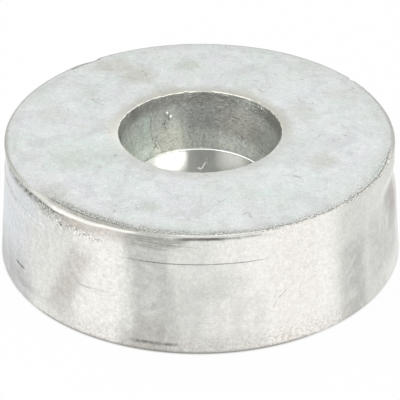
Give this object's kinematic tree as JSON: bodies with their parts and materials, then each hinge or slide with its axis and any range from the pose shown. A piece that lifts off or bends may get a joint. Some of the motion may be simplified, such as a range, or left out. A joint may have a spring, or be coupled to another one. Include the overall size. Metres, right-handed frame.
{
  "type": "sacrificial anode",
  "caption": "Round zinc sacrificial anode: a tapered cast ring with a straight central bore, a seat ledge and a wider recess above it.",
  "frame": {"origin": "centre of the base, on the bore's axis", "axes": "+Z along the bore's axis, out of the recess; -Y is the side that faces the viewer"},
  "size_m": [0.1278, 0.1278, 0.04],
  "materials": {
    "cast_zinc": "satin"
  },
  "bodies": {
    "root": {"anode_body": "cast_zinc"}
  },
  "joints": []
}
